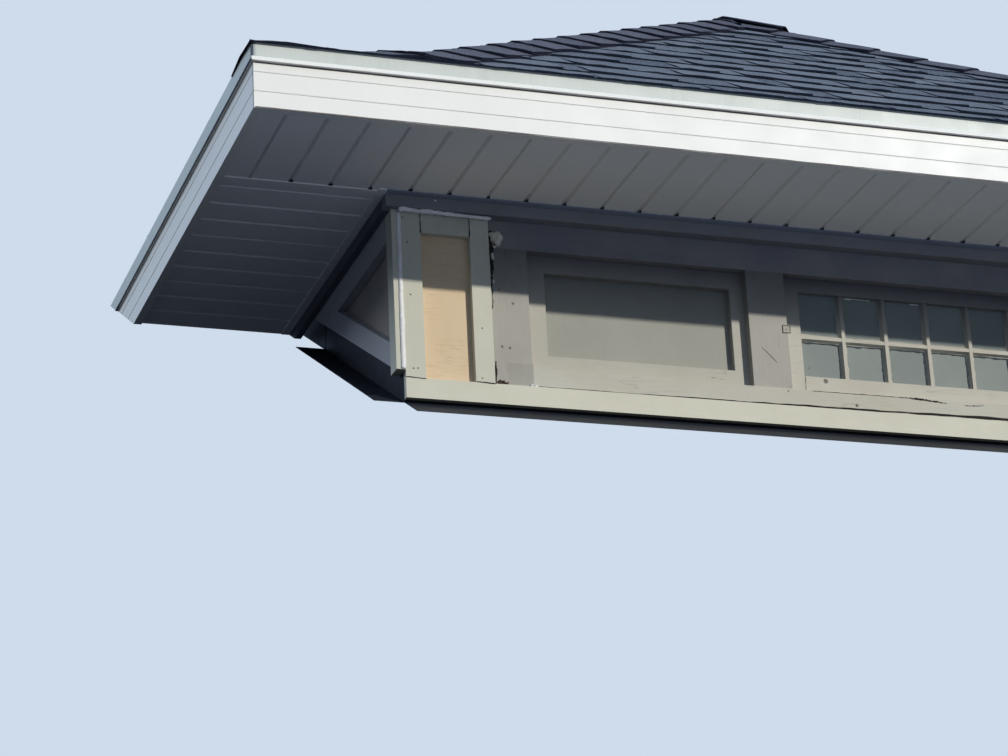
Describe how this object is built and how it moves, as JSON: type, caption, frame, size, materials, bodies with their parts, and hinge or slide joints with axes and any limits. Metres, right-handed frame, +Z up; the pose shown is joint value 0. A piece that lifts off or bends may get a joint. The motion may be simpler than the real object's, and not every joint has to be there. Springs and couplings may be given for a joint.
{
  "type": "hipped attic dormer with window",
  "caption": "Hipped roof dormer with flared eaves, grooved soffits, a long divided window, panelled bays and triangular cheeks, open underneath to the attic.",
  "frame": {"origin": "middle of the front sole plate's underside, on the plane of the roof that the dormer stands on", "axes": "+X along the front, to the right seen from outside; +Y back into the roof; +Z up"},
  "size_m": [4.384, 4.1212, 2.2156],
  "materials": {
    "framing": "rough sawn softwood",
    "plywood": "bare softwood plywood",
    "old_paint": "old flat paint, cracked",
    "new_paint": "fresh flat paint",
    "frieze_paint": "flat paint",
    "soffit_metal": "satin coated sheet",
    "fascia_metal": "satin coated sheet",
    "drip_metal": "satin coated sheet",
    "flashing_metal": "dark coated sheet",
    "shingle": "granule coated",
    "cap": "granule coated",
    "glass": "old window glass, dirty"
  },
  "bodies": {
    "root": {"front_sole_plate": "framing", "side_sole_plates": "framing", "front_studs": "framing", "side_studs": "framing", "front_top_plate": "framing", "side_top_plates": "framing", "window_header": "framing", "ceiling_joists": "framing", "ridge_board": "framing", "hip_rafters": "framing", "front_rafters": "framing", "side_rafters": "framing", "valley_boards": "framing", "front_roof_deck": "plywood", "left_roof_deck": "plywood", "right_roof_deck": "plywood", "front_shingles": "shingle", "left_shingles": "shingle", "right_shingles": "shingle", "hip_caps": "cap", "ridge_cap": "cap", "front_soffit": "soffit_metal", "side_soffits": "soffit_metal", "soffit_channels": "soffit_metal", "front_fascia": "fascia_metal", "left_fascia": "fascia_metal", "right_fascia": "fascia_metal", "drip_edges": "drip_metal", "front_frieze": "frieze_paint", "side_friezes": "frieze_paint", "head_boards": "old_paint", "corner_boards": "new_paint", "trim_boards": "new_paint", "pilasters": "old_paint", "posts": "old_paint", "front_sheathing": "plywood", "window_sill": "old_paint", "panel_frames": "old_paint", "bay_panels": "old_paint", "window_sash": "old_paint", "window_glass": "glass", "apron_board": "new_paint", "apron_flashing": "flashing_metal", "side_rails": "frieze_paint", "side_sheathing": "plywood", "step_flashing": "flashing_metal"}
  },
  "joints": []
}
